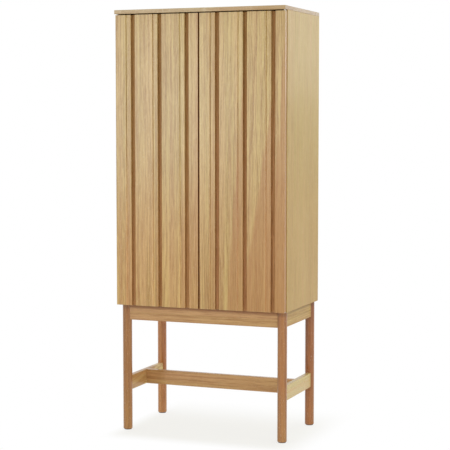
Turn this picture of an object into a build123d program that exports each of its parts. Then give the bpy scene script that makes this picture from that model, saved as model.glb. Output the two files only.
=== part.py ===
"""Tall two-door cupboard on a stand, modelled piece by piece in millimetres.

The origin is on the floor under the middle of the cupboard. +Z is up, +X is the
cupboard's left-to-right as seen from the front, and the doors face -Y.
"""

from build123d import *
from math import cos, hypot, radians, tan
import os

# Overall sizes
overall_width = 730.0
overall_depth = 430.0
overall_height = 1720.0
stand_height = 524.0

# Case
panel_thickness = 16.0
panel_edge_break = 1.0
back_thickness = 6.0
back_inset = 10.0
groove_depth = 6.0
groove_clearance = 0.15
rail_height = 60.0
rail_thickness = 16.0
wall_hole_radius = 3.0
wall_hole_spacing = 400.0

# Dowels of the case
dowel_radius = 4.0
dowel_length = 28.0
dowel_side_depth = 10.0
dowel_clearance = 0.05
dowel_place_shares = (0.2, 0.8)

# Shelves and their pins
shelf_names = ("lower_shelf", "middle_shelf", "upper_shelf")
shelf_front_setback = 20.0
shelf_side_gap = 1.0
shelf_back_gap = 2.0
peg_radius = 2.5
peg_depth = 8.0
peg_stand_out = 9.0
peg_clearance = 0.05
peg_row_setback = 50.0

# Stand
leg_diameter = 38.0
leg_side_inset = 8.0
leg_end_inset = 6.0
leg_foot_chamfer = 1.5
glide_height = 3.0
glide_inset = 2.0
stand_board_thickness = 20.0
apron_height = 65.0
stretcher_height = 60.0
stretcher_rise = 163.0
board_edge_round = 1.5
shoulder_clearance = 0.1
tenon_thickness = 8.0
tenon_shoulder = 8.0
tenon_length = 12.0
mortise_clearance = 0.1

# Bolts that hold the stand to the case
bolt_radius = 3.0
bolt_head_radius = 5.5
bolt_head_height = 4.0
bolt_bite = 12.0
bolt_thread_fit = 0.05
bolt_hole_clearance = 0.3
counterbore_depth = 40.0
bolt_place_share = 0.55

# Doors
front_overhang = 7.0
door_side_inset = 2.0
door_meeting_gap = 4.0
door_top_gap = 4.0
backing_thickness = 8.0
plank_thickness = 12.0
plank_gap = 17.5
plank_width_shares = (0.675, 1.0, 1.0, 0.41)
plank_edge_break = 0.8
bead_width = 6.0
bead_depth = 3.0
bead_band_width = 17.5

# Pivot hinges
door_opening_degrees = 105.0
hinge_edge_distance = 6.0
hinge_front_distance = 9.0
hinge_swing_clearance = 0.47
hinge_plate_thickness = 2.5
leaf_width = 11.0
leaf_reach = 30.0
arm_width = 9.0
arm_reach = 45.0
pin_radius = 2.5
pin_bite = 4.0
pin_hole_clearance = 0.5
washer_radius = 4.5
washer_thickness = 0.9
running_clearance = 0.05
thrust_clearance = 0.1
recess_clearance = 0.1
pocket_clearance = 0.4

# Screws of the hinges, the catch and the strike plates
screw_head_radius = 3.0
screw_head_height = 1.8
screw_radius = 1.5
screw_length = 12.0
screw_fit = 0.05
screw_place_shares = (0.37, 0.7)

# Magnetic catch, strike plates and bumpers
catch_width = 80.0
catch_depth = 16.0
catch_height = 14.0
catch_edge_round = 1.0
catch_screw_spacing = 66.0
catch_screw_length = 22.0
magnet_width = 20.0
magnet_height = 8.0
magnet_depth = 10.0
magnet_spacing = 40.0
magnet_stand_off = 0.2
magnet_fit = 0.05
contact_gap = 0.3
strike_width = 24.0
strike_height = 12.0
strike_top_margin = 0.5
strike_screw_length = 8.0
bumper_radius = 4.0
bumper_edge_distance = 25.0

# How far every cutting tool runs past the face that it cuts
overrun = 5.0

# Places that follow from the sizes above
half_width = overall_width / 2
case_back = overall_depth / 2
case_top = overall_height - panel_thickness
case_floor = stand_height + panel_thickness
inner_half_width = half_width - panel_thickness
door_thickness = backing_thickness + plank_thickness
door_front = front_overhang - overall_depth / 2
door_back = door_front + door_thickness
plank_back = door_front + plank_thickness
door_outer_edge = half_width - door_side_inset
door_inner_edge = door_meeting_gap / 2
door_width = door_outer_edge - door_inner_edge
door_top = case_top - door_top_gap
door_height = door_top - stand_height

# The door's back corner swings past the side panel, which sets the gap behind the door
pin_x = door_outer_edge - hinge_edge_distance
pin_y = door_front + hinge_front_distance
pin_back_distance = door_back - pin_y
corner_swing = hypot(hinge_edge_distance, pin_back_distance)
door_back_gap = corner_swing - pin_back_distance + hinge_swing_clearance
case_front = door_back + door_back_gap
case_depth = case_back - case_front

back_rear = case_back - back_inset
back_front = back_rear - back_thickness
rail_front = back_front - rail_thickness
rail_middle_height = case_top - rail_height / 2

leg_radius = leg_diameter / 2
leg_x = half_width - leg_side_inset - leg_radius
leg_front_y = case_front + leg_end_inset + leg_radius
leg_back_y = case_back - leg_end_inset - leg_radius
leg_middle_y = (leg_front_y + leg_back_y) / 2
apron_middle_height = stand_height - apron_height / 2
stretcher_middle_height = stretcher_rise + stretcher_height / 2
bolt_x = leg_x * bolt_place_share

shelf_count = len(shelf_names)
shelf_room = (case_top - case_floor - shelf_count * panel_thickness) / (shelf_count + 1)
shelf_pitch = shelf_room + panel_thickness
shelf_undersides = [case_floor + shelf_room + shelf_pitch * n for n in range(shelf_count)]
peg_rows = (case_front + peg_row_setback, rail_front - peg_row_setback)

# Heights of the hinge parts at the foot and at the head of a door
lower_arm_top = stand_height + hinge_plate_thickness
lower_leaf_bottom = lower_arm_top + washer_thickness + thrust_clearance
lower_leaf_top = lower_leaf_bottom + hinge_plate_thickness
upper_leaf_bottom = door_top - hinge_plate_thickness

UP = (0, 0, 1)
DOWN = (0, 0, -1)
QUARTER_TURN = 90
HALF_TURN = 180
SIDES = {"left": -1, "right": 1}
ENDS = {"front": leg_front_y, "back": leg_back_y}


def block(x_span, y_span, z_span):
    """A square-edged board between two limits on each axis."""
    spans = (x_span, y_span, z_span)
    middle = [(low + high) / 2 for low, high in spans]
    lengths = [high - low for low, high in spans]
    return Pos(*middle) * Box(*lengths)


def around(middle, size):
    """The two limits of a size that lies evenly about its middle."""
    return (middle - size / 2, middle + size / 2)


def rod(radius, start, direction, length):
    """A round bar from a point along a direction."""
    bar = Cylinder(radius, length, align=(Align.CENTER, Align.CENTER, Align.MIN))
    return Plane(origin=start, z_dir=direction) * bar


def turned(outline, start, direction):
    """A turned piece, from an outline of (radius, distance along) points about its own axis."""
    profile = Plane.XZ * make_face(Polyline(*outline, close=True))
    return Plane(origin=start, z_dir=direction) * revolve(profile, Axis.Z)


def strap(width, reach, thickness, pin_point, heading):
    """A flat bar with round ends, from round a pin to its reach along a heading in degrees."""
    outline = Pos((reach - width / 2) / 2, 0) * SlotOverall(reach + width / 2, width)
    return Pos(*pin_point) * Rot(0, 0, heading) * extrude(outline, amount=thickness)


def screw(length, head_point, direction):
    """A countersunk screw whose flat head lies at a point."""
    outline = [
        (0, 0),
        (screw_head_radius, 0),
        (screw_radius, screw_head_height),
        (screw_radius, length),
        (0, length),
    ]
    return turned(outline, head_point, direction)


def screw_seat(length, head_point, direction):
    """The countersink and pilot hole that a screw of that length sits in."""
    head = screw_head_radius + screw_fit
    shank = screw_radius + screw_fit
    outline = [
        (0, -overrun),
        (head, -overrun),
        (head, 0),
        (shank, screw_head_height),
        (shank, length + screw_fit),
        (0, length + screw_fit),
    ]
    return turned(outline, head_point, direction)


def back_groove():
    """The slot round the inside of the case that holds the back panel."""
    reach = inner_half_width + groove_depth
    y_span = (back_front - groove_clearance, back_rear + groove_clearance)
    return block((-reach, reach), y_span, (case_floor - groove_depth, case_top + groove_depth))


def top_dowels(grow=0.0):
    """Upright dowels between the side panels and the top."""
    x = half_width - panel_thickness / 2
    low = case_top - dowel_length / 2 - grow
    length = dowel_length + grow * 2
    ys = [case_front + case_depth * share for share in dowel_place_shares]
    return [rod(dowel_radius + grow, (side * x, y, low), UP, length) for side in SIDES.values() for y in ys]


def level_dowels(grow=0.0):
    """Level dowels from the side panels into the bottom panel and the wall rail."""
    outer = inner_half_width + dowel_side_depth + grow
    length = dowel_length + grow * 2
    floor_middle = stand_height + panel_thickness / 2
    places = [(case_front + case_depth * share, floor_middle) for share in dowel_place_shares]
    places.append((back_front - rail_thickness / 2, rail_middle_height))
    pieces = []
    for side in SIDES.values():
        for y, z in places:
            pieces.append(rod(dowel_radius + grow, (side * outer, y, z), (-side, 0, 0), length))
    return pieces


def pin_point(side, height):
    """A point on a door's pivot line."""
    return (side * pin_x, pin_y, height)


def inward_heading(side):
    """The heading in degrees from a door's outer edge to its meeting edge."""
    return HALF_TURN if side > 0 else 0


def arm_screw_places(side):
    """Where the lower hinge arm is screwed up into the side panel, behind the door."""
    let_in_length = pin_y + arm_reach - case_front
    ys = [case_front + let_in_length * share for share in screw_place_shares]
    return [(side * pin_x, y, stand_height) for y in ys]


def leaf_screw_places(side, height):
    """Where a straight hinge leaf is screwed, inward from its pin."""
    return [(side * (pin_x - leaf_reach * share), pin_y, height) for share in screw_place_shares]


def top_panel():
    """The top: edges broken, grooved for the back and let in for the upper hinge plates."""
    panel = block((-half_width, half_width), (-case_back, case_back), (case_top, overall_height))
    panel = chamfer(panel.edges(), panel_edge_break)
    panel -= back_groove()
    for dowel in top_dowels(dowel_clearance):
        panel -= dowel
    for side in SIDES.values():
        recess = strap(
            leaf_width + recess_clearance * 2,
            leaf_reach + recess_clearance,
            hinge_plate_thickness + overrun,
            pin_point(side, case_top - overrun),
            inward_heading(side),
        )
        panel -= recess
        for place in leaf_screw_places(side, case_top):
            panel -= screw_seat(screw_length, place, UP)
        panel -= screw_seat(catch_screw_length, catch_screw_place(side), UP)
    return panel


def side_panel(side):
    """A side: its two outer long edges broken, grooved, bored for dowels and shelf pins."""
    inner, outer = sorted((side * inner_half_width, side * half_width))
    panel = block((inner, outer), (case_front, case_back), (stand_height, case_top))
    outer_face = panel.faces().sort_by(Axis.X)[-1 if side > 0 else 0]
    panel = chamfer(outer_face.edges().filter_by(Axis.Z), panel_edge_break)
    panel -= back_groove()
    for dowel in top_dowels(dowel_clearance) + level_dowels(dowel_clearance):
        panel -= dowel
    for peg in shelf_pegs(side, peg_clearance):
        panel -= peg
    panel -= strap(
        arm_width + recess_clearance * 2,
        arm_reach + recess_clearance,
        hinge_plate_thickness + overrun,
        pin_point(side, stand_height - overrun),
        QUARTER_TURN,
    )
    for place in arm_screw_places(side):
        panel -= screw_seat(screw_length, place, UP)
    return panel


def bottom_panel():
    """The bottom board between the sides, grooved at the back and bored for the stand's bolts."""
    x_span = (-inner_half_width, inner_half_width)
    panel = block(x_span, (case_front, case_back), (stand_height, case_floor))
    panel -= back_groove()
    for dowel in level_dowels(dowel_clearance):
        panel -= dowel
    for x, y in bolt_places():
        panel -= rod(bolt_radius + bolt_thread_fit, (x, y, stand_height - overrun), UP, overrun + bolt_bite)
    return panel


def back_panel():
    """The thin back that slides in the groove, with holes for the wall screws."""
    reach = inner_half_width + groove_depth - groove_clearance
    low = case_floor - groove_depth + groove_clearance
    high = case_top + groove_depth - groove_clearance
    panel = block((-reach, reach), (back_front, back_rear), (low, high))
    for hole in wall_holes():
        panel -= hole
    return panel


def wall_holes():
    """Straight holes through the rail and the back, for two screws into a wall."""
    length = rail_thickness + back_thickness + overrun * 2
    y = rail_front - overrun
    xs = around(0, wall_hole_spacing)
    return [rod(wall_hole_radius, (x, y, rail_middle_height), (0, 1, 0), length) for x in xs]


def wall_rail():
    """The rail under the top at the back, which takes the screws that hold the cupboard to a wall."""
    z_span = (case_top - rail_height, case_top)
    rail = block((-inner_half_width, inner_half_width), (rail_front, back_front), z_span)
    for cutter in wall_holes() + level_dowels(dowel_clearance):
        rail -= cutter
    return rail


def shelf(underside):
    """One loose shelf."""
    reach = inner_half_width - shelf_side_gap
    y_span = (case_front + shelf_front_setback, back_front - shelf_back_gap)
    board = block((-reach, reach), y_span, (underside, underside + panel_thickness))
    front_edges = board.faces().sort_by(Axis.Y)[0].edges().filter_by(Axis.X)
    return chamfer(front_edges, panel_edge_break)


def shelf_pegs(side, grow=0.0):
    """The plain pegs in one side panel, two under each shelf."""
    x = side * (inner_half_width - peg_stand_out)
    length = peg_stand_out + peg_depth + grow
    places = [(x, y, underside - peg_radius) for underside in shelf_undersides for y in peg_rows]
    return [rod(peg_radius + grow, place, (side, 0, 0), length) for place in places]


def tenon(span, height, grow=0.0):
    """The tongue through a stand board along X, tenon to tenon, about the board's own middle."""
    length = span - (leg_radius - tenon_length) * 2
    return Box(length + grow * 2, tenon_thickness + grow * 2, height - tenon_shoulder * 2 + grow * 2)


def stand_board(span, height):
    """A board along X whose ends are hollowed to fit round the legs, with a tenon at each end."""
    outline = Plane.YZ * RectangleRounded(stand_board_thickness, height, board_edge_round)
    board = extrude(outline, amount=span / 2, both=True)
    for end in (-span / 2, span / 2):
        board -= Pos(end, 0) * Cylinder(leg_radius + shoulder_clearance, height + overrun)
    return board + tenon(span, height)


def bolt_places():
    """The four places where the front and back aprons are bolted up to the bottom panel."""
    return [(side * bolt_x, y) for y in ENDS.values() for side in SIDES.values()]


def bolt_bores():
    """At each bolt, a counterbore from below its apron, and a clearance hole on through it."""
    seat = stand_height - apron_height + counterbore_depth
    low = stand_height - apron_height - overrun
    bores = []
    for x, y in bolt_places():
        bores.append(rod(bolt_head_radius + bolt_hole_clearance, (x, y, low), UP, seat - low))
        bores.append(rod(bolt_radius + bolt_hole_clearance, (x, y, low), UP, stand_height + overrun - low))
    return bores


def stand_bolts():
    """Bolts from the counterbores up into the bottom panel."""
    seat = stand_height - apron_height + counterbore_depth
    tip = stand_height + bolt_bite - bolt_thread_fit
    outline = [
        (0, 0),
        (bolt_head_radius, 0),
        (bolt_head_radius, bolt_head_height),
        (bolt_radius, bolt_head_height),
        (bolt_radius, tip - seat + bolt_head_height),
        (0, tip - seat + bolt_head_height),
    ]
    return [turned(outline, (x, y, seat - bolt_head_height), UP) for x, y in bolt_places()]


def apron_across(y):
    """The front or the back apron."""
    board = Pos(0, y, apron_middle_height) * stand_board(leg_x * 2, apron_height)
    for bore in bolt_bores():
        board -= bore
    return board


def board_front_to_back(side, height, middle_height):
    """A board along Y between a front and a back leg."""
    board = stand_board(leg_back_y - leg_front_y, height)
    return Pos(side * leg_x, leg_middle_y, middle_height) * Rot(0, 0, QUARTER_TURN) * board


def centre_stretcher(grow=0.0):
    """The long stretcher, tenoned into the middle of both side stretchers."""
    inner = leg_x - stand_board_thickness / 2
    outline = Plane.YZ * RectangleRounded(stand_board_thickness, stretcher_height, board_edge_round)
    board = extrude(outline, amount=inner, both=True)
    tongue = Box(
        (inner + tenon_length + grow) * 2,
        tenon_thickness + grow * 2,
        stretcher_height - tenon_shoulder * 2 + grow * 2,
    )
    return Pos(0, leg_middle_y, stretcher_middle_height) * (board + tongue)


def side_stretcher(side):
    """A low stretcher between a front and a back leg, mortised for the centre stretcher."""
    board = board_front_to_back(side, stretcher_height, stretcher_middle_height)
    tongue = centre_stretcher(mortise_clearance)
    return board - tongue


def leg(side, end_y):
    """A straight round leg, with mortises for two aprons and a stretcher."""
    post_height = stand_height - glide_height
    outline = [
        (0, 0),
        (leg_radius - leg_foot_chamfer, 0),
        (leg_radius, leg_foot_chamfer),
        (leg_radius, post_height),
        (0, post_height),
    ]
    post = turned(outline, (side * leg_x, end_y, glide_height), UP)
    across = Pos(0, end_y, apron_middle_height) * tenon(leg_x * 2, apron_height, mortise_clearance)
    post -= across
    deep_span = leg_back_y - leg_front_y
    for height, middle in ((apron_height, apron_middle_height), (stretcher_height, stretcher_middle_height)):
        tongue = tenon(deep_span, height, mortise_clearance)
        post -= Pos(side * leg_x, leg_middle_y, middle) * Rot(0, 0, QUARTER_TURN) * tongue
    return post


def foot_glides():
    """A low round glide under each leg."""
    radius = leg_radius - leg_foot_chamfer - glide_inset
    places = [(side * leg_x, y, 0) for side in SIDES.values() for y in ENDS.values()]
    return [rod(radius, place, UP, glide_height) for place in places]


def plank_outline(width, beaded):
    """A plank's section: front edges broken, and a shallow V bead beside a narrow band."""
    points = [(0, plank_thickness), (0, plank_edge_break), (plank_edge_break, 0)]
    if beaded:
        bead_right = width - bead_band_width
        points += [(bead_right - bead_width, 0), (bead_right - bead_width / 2, bead_depth), (bead_right, 0)]
    points += [(width - plank_edge_break, 0), (width, plank_edge_break), (width, plank_thickness)]
    return make_face(Polyline(*points, close=True))


def door_left_edge(side):
    """The x of a door's left-hand edge as seen from the front."""
    return door_inner_edge if side > 0 else -door_outer_edge


def door_cutters(side):
    """What is cut from a door's ends for its two hinges and their pins."""
    heading = inward_heading(side)
    width = leaf_width + recess_clearance * 2
    reach = leaf_reach + recess_clearance
    lower_depth = lower_leaf_top - stand_height + overrun
    lower = strap(width, reach, lower_depth, pin_point(side, stand_height - overrun), heading)
    upper = strap(width, reach, hinge_plate_thickness + overrun, pin_point(side, upper_leaf_bottom), heading)
    past_square = radians(door_opening_degrees - QUARTER_TURN)
    arm_swing = hinge_edge_distance * tan(past_square) + arm_width / 2 / cos(past_square)
    pocket_x = (pin_x - arm_width / 2 - pocket_clearance, door_outer_edge + overrun)
    pocket = block(
        sorted(side * x for x in pocket_x),
        (pin_y - arm_swing - pocket_clearance, door_back + overrun),
        (stand_height - overrun, lower_leaf_bottom),
    )
    bore_radius = pin_radius + pin_hole_clearance
    bore_depth = pin_bite + pin_hole_clearance
    lower_bore = rod(bore_radius, pin_point(side, lower_leaf_bottom), UP, hinge_plate_thickness + bore_depth)
    upper_bore = rod(bore_radius, pin_point(side, door_top), DOWN, hinge_plate_thickness + bore_depth)
    cutters = [lower, upper, pocket, lower_bore, upper_bore]
    cutters += [screw_seat(screw_length, place, UP) for place in leaf_screw_places(side, lower_leaf_bottom)]
    cutters += [screw_seat(screw_length, place, DOWN) for place in leaf_screw_places(side, door_top)]
    return cutters


def door_planks(side):
    """The four planks of a door, from its left-hand edge, cut for the hinges."""
    room = door_width - plank_gap * (len(plank_width_shares) - 1)
    full_width = room / sum(plank_width_shares)
    left = door_left_edge(side)
    planks = []
    for share in plank_width_shares:
        width = full_width * share
        is_last = len(planks) == len(plank_width_shares) - 1
        plank = extrude(plank_outline(width, not is_last), amount=door_height, dir=UP)
        planks.append(Pos(left, door_front, stand_height) * plank)
        left += width + plank_gap
    hinge_plank = -1 if side > 0 else 0
    for cutter in door_cutters(side):
        planks[hinge_plank] -= cutter
    return planks


def door_backing(side):
    """The board behind a door's planks."""
    left = door_left_edge(side)
    board = block((left, left + door_width), (plank_back, door_back), (stand_height, door_top))
    for cutter in door_cutters(side):
        board -= cutter
    return board - screw_seat(strike_screw_length, strike_centre(side), (0, -1, 0))


def hinge_plate(side):
    """The upper hinge plate, let in flush under the top and bored for the pin."""
    start = pin_point(side, case_top)
    plate = strap(leaf_width, leaf_reach, hinge_plate_thickness, start, inward_heading(side))
    plate -= rod(pin_radius + running_clearance, pin_point(side, case_top - overrun), UP, overrun * 2)
    for place in leaf_screw_places(side, case_top):
        plate -= screw_seat(screw_length, place, UP)
    return plate


def hinge_arm(side):
    """The lower hinge arm, let in flush under the side panel, reaching out below the door."""
    start = pin_point(side, stand_height)
    arm = strap(arm_width, arm_reach, hinge_plate_thickness, start, QUARTER_TURN)
    arm -= rod(pin_radius + running_clearance, pin_point(side, stand_height - overrun), UP, overrun * 2)
    for place in arm_screw_places(side):
        arm -= screw_seat(screw_length, place, UP)
    return arm


def hinge_leaf(side, bottom, screw_height, screw_direction):
    """A leaf on the door, bored to turn on its pin."""
    start = pin_point(side, bottom)
    leaf = strap(leaf_width, leaf_reach, hinge_plate_thickness, start, inward_heading(side))
    leaf -= rod(pin_radius + running_clearance, pin_point(side, bottom - overrun), UP, overrun * 2)
    for place in leaf_screw_places(side, screw_height):
        leaf -= screw_seat(screw_length, place, screw_direction)
    return leaf


def hinge_pins():
    """A pin through each hinge: up from the arms below, down from the plates above."""
    lower_length = lower_leaf_top + pin_bite - stand_height
    upper_top = case_top + hinge_plate_thickness
    upper_length = upper_top - upper_leaf_bottom + pin_bite
    pins = []
    for side in SIDES.values():
        pins.append(rod(pin_radius, pin_point(side, stand_height), UP, lower_length))
        pins.append(rod(pin_radius, pin_point(side, upper_top), DOWN, upper_length))
    return pins


def hinge_washers():
    """A washer under each door's lower leaf, and a spacer in the gap over its upper leaf."""
    washers = []
    for side in SIDES.values():
        lower = rod(washer_radius, pin_point(side, lower_arm_top), UP, washer_thickness)
        upper = rod(washer_radius, pin_point(side, case_top), DOWN, door_top_gap - thrust_clearance)
        for washer in (lower, upper):
            bore_start = pin_point(side, stand_height - overrun)
            bore_length = overall_height - stand_height
            washers.append(washer - rod(pin_radius + running_clearance, bore_start, UP, bore_length))
    return washers


def case_hinge_screws():
    """The screws of the upper plates and the lower arms."""
    pieces = []
    for side in SIDES.values():
        for place in leaf_screw_places(side, case_top) + arm_screw_places(side):
            pieces.append(screw(screw_length, place, UP))
    return pieces


def door_hinge_screws(side):
    """The screws of a door's two leaves."""
    lower = [screw(screw_length, place, UP) for place in leaf_screw_places(side, lower_leaf_bottom)]
    upper = [screw(screw_length, place, DOWN) for place in leaf_screw_places(side, door_top)]
    return lower + upper


def catch_screw_place(side):
    """The head of one of the catch's two screws."""
    return (side * catch_screw_spacing / 2, case_front + catch_depth / 2, case_top - catch_height)


def magnet_block(side, grow=0.0):
    """A magnet in the catch, its pole face just proud of the housing."""
    front = case_front - magnet_stand_off
    z_middle = case_top - door_top_gap - strike_top_margin - strike_height / 2
    return block(
        around(side * magnet_spacing / 2, magnet_width + grow * 2),
        (front, front + magnet_depth + grow),
        around(z_middle, magnet_height + grow * 2),
    )


def catch_housing():
    """The catch body under the top, with a pocket for each magnet."""
    y_span = (case_front, case_front + catch_depth)
    housing = block(around(0, catch_width), y_span, (case_top - catch_height, case_top))
    housing = fillet(housing.edges().filter_by(Axis.Z), catch_edge_round)
    for side in SIDES.values():
        housing -= magnet_block(side, magnet_fit)
        housing -= screw_seat(catch_screw_length, catch_screw_place(side), UP)
    return housing


def strike_centre(side):
    """The middle of a strike plate's outer face."""
    thickness = door_back_gap - magnet_stand_off - contact_gap
    z = door_top - strike_top_margin - strike_height / 2
    return (side * magnet_spacing / 2, door_back + thickness, z)


def strike_plate(side):
    """The steel plate on the back of a door that the magnet holds."""
    x, rear, z = strike_centre(side)
    plate = block(around(x, strike_width), (door_back, rear), around(z, strike_height))
    return plate - screw_seat(strike_screw_length, (x, rear, z), (0, -1, 0))


def door_bumper(side):
    """A soft round pad on the back of a door, level with the bottom panel's front edge."""
    start = (side * (door_inner_edge + bumper_edge_distance), door_back, stand_height + panel_thickness / 2)
    return rod(bumper_radius, start, (0, 1, 0), door_back_gap - contact_gap)


def save(node, pieces):
    """Write one node, a single solid or a group of separate ones."""
    solids = pieces if isinstance(pieces, list) else [pieces]
    shape = solids[0] if len(solids) == 1 else Compound(children=solids)
    shape.label = node
    export_step(shape, f"parts/{node}.step")


def save_case():
    """Write the case, its shelves, the catch and the hinge parts on the case."""
    save("top_panel", top_panel())
    save("bottom_panel", bottom_panel())
    save("back_panel", back_panel())
    save("wall_rail", wall_rail())
    save("case_dowels", top_dowels() + level_dowels())
    for name, underside in zip(shelf_names, shelf_undersides):
        save(name, shelf(underside))
    save("shelf_pins", [peg for side in SIDES.values() for peg in shelf_pegs(side)])
    save("catch_housing", catch_housing())
    save("catch_magnets", [magnet_block(side) for side in SIDES.values()])
    catch_screws = [screw(catch_screw_length, catch_screw_place(side), UP) for side in SIDES.values()]
    save("catch_screws", catch_screws)
    save("hinge_pins", hinge_pins())
    save("hinge_washers", hinge_washers())
    save("case_hinge_screws", case_hinge_screws())
    for name, side in SIDES.items():
        save(f"{name}_side_panel", side_panel(side))
        save(f"{name}_upper_hinge_plate", hinge_plate(side))
        save(f"{name}_lower_hinge_arm", hinge_arm(side))


def save_stand():
    """Write the stand with its glides and bolts."""
    for end, y in ENDS.items():
        save(f"{end}_apron", apron_across(y))
        for name, side in SIDES.items():
            save(f"leg_{end}_{name}", leg(side, y))
    for name, side in SIDES.items():
        save(f"{name}_apron", board_front_to_back(side, apron_height, apron_middle_height))
        save(f"{name}_side_stretcher", side_stretcher(side))
    save("centre_stretcher", centre_stretcher())
    save("foot_glides", foot_glides())
    save("stand_bolts", stand_bolts())


def save_door(name, side):
    """Write one door with the parts that swing with it."""
    save(f"{name}_door_backing", door_backing(side))
    for number, plank in enumerate(door_planks(side), start=1):
        save(f"{name}_door_plank_{number}", plank)
    save(f"{name}_door_lower_leaf", hinge_leaf(side, lower_leaf_bottom, lower_leaf_bottom, UP))
    save(f"{name}_door_upper_leaf", hinge_leaf(side, upper_leaf_bottom, door_top, DOWN))
    save(f"{name}_door_hinge_screws", door_hinge_screws(side))
    save(f"{name}_strike_plate", strike_plate(side))
    save(f"{name}_strike_screw", screw(strike_screw_length, strike_centre(side), (0, -1, 0)))
    save(f"{name}_door_bumper", door_bumper(side))


os.makedirs("parts", exist_ok=True)
save_case()
save_stand()
for door_name, door_side in SIDES.items():
    save_door(door_name, door_side)
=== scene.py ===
"""Dresses the tall cupboard: lacquered oak boards, satin hinges, plated screws, and a pale studio round it."""

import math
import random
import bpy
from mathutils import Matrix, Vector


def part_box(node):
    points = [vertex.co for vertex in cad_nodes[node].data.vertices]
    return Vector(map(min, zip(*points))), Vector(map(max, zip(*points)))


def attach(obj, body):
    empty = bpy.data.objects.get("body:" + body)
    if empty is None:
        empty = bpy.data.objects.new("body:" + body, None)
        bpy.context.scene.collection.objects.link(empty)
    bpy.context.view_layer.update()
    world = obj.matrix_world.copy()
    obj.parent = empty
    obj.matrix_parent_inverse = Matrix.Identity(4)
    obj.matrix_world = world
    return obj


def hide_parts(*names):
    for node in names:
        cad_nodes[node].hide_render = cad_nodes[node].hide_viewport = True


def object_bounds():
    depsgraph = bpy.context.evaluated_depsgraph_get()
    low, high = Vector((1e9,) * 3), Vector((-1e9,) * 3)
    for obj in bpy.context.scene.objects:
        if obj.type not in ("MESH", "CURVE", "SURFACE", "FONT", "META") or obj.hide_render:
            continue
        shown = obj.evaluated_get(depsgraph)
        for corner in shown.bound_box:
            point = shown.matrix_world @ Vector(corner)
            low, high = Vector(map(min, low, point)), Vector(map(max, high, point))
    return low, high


bl_info = {
    "name": "Tall cupboard dressing",
    "version": (1, 0, 0),
    "blender": (4, 5, 0),
    "location": "3D View > Sidebar > Cupboard",
    "description": "Gives the tall cupboard its oak, its fittings and its studio",
    "category": "Object",
}

import bmesh
import bpy
from bpy.props import FloatProperty, FloatVectorProperty, PointerProperty
from mathutils import Matrix, Vector

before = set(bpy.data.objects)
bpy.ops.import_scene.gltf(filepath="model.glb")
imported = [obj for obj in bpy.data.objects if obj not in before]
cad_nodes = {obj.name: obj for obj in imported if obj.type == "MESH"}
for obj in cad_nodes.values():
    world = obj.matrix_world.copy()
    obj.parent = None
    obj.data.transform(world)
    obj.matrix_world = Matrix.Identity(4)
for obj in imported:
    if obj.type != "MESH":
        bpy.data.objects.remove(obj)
cad_low, cad_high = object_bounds()

SIDES = ("left", "right")
ENDS = ("front", "back")
PLANK_NUMBERS = (1, 2, 3, 4)

# Which of the part's axes run across a board's face, through the board and along its grain
UPRIGHT_FACING_FRONT = "XYZ"
UPRIGHT_FACING_SIDE = "YXZ"
LEVEL_FACING_FRONT = "ZYX"
LEVEL_FACING_SIDE = "ZXY"
LYING_FLAT = "YZX"

# Where a board was cut from the log: metres across and behind to the pith, and the pith's lean
FLAT_SAWN = (0.0, 0.085, 0.028)
RIFT_SAWN = (0.24, 0.16, 0.012)
QUARTER_SAWN = (0.42, 0.03, 0.004)

# Sockets of the Mix node when it mixes colours
MIX_FIRST, MIX_SECOND, MIX_RESULT = 6, 7, 2

# What a board's colour is multiplied by on its end grain; on the edges where the doors meet, as
# painted shadow of the gap between them; and in the beads near their foot, as painted light
END_GRAIN_SHADE = (0.78, 0.77, 0.67, 1.0)
GAP_PAINTED_SHADOW = (0.48, 0.30, 0.14, 1.0)
BEAD_PAINTED_LIGHT = (1.22, 1.26, 1.42, 1.0)

# From a plank's right-hand edge to the middle of its bead
BEAD_SETBACK = 0.0205

# How boards change with height: where the change starts and where it is full, in metres from the
# floor, and what it leaves of their colour. Painted light makes the planks and side panels paler
# towards the top and the legs paler at their foot; painted shade makes the groove floors darker
# towards the top and the back right leg darker under the case; painted shadow darkens the aprons
# under the doors and the tops of the legs and side aprons under the case. The left door's planks
# grow a little redder towards their foot.
PAINTED_LIGHT_ABOVE = (0.75, 1.35, (1.0, 1.07, 1.10, 1.0))
PAINTED_SHADE_ABOVE = (0.55, 1.70, (0.79, 0.84, 0.73, 1.0))
PAINTED_FLOOR_LIGHT = (0.24, 0.04, (1.11, 1.22, 1.30, 1.0))
PAINTED_SHADOW_UNDER_DOORS = (0.503, 0.515, (0.55, 0.41, 0.27, 1.0))
PAINTED_SHADOW_UNDER_SIDES = (0.499, 0.512, (0.74, 0.71, 0.64, 1.0))
PAINTED_SHADE_UNDER_CASE = (0.36, 0.50, (0.84, 0.83, 0.81, 1.0))
WARMER_FOOT = (1.15, 0.65, (1.05, 1.0, 1.0, 1.0))


def srgb(red, green, blue):
    """A colour from the 0 to 255 values that a screen shows."""
    values = []
    for level in (red, green, blue):
        share = level / 255
        values.append(share / 12.92 if share <= 0.04045 else ((share + 0.055) / 1.055) ** 2.4)
    return (*values, 1.0)


def colour_property(label, text, *levels):
    return FloatVectorProperty(
        name=label, description=text, subtype="COLOR", size=4, min=0, max=1, default=srgb(*levels)
    )


def share_property(label, text, value):
    return FloatProperty(name=label, description=text, subtype="FACTOR", min=0, max=1, default=value)


def length_property(label, text, value):
    return FloatProperty(name=label, description=text, unit="LENGTH", min=0, precision=4, default=value)


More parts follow.
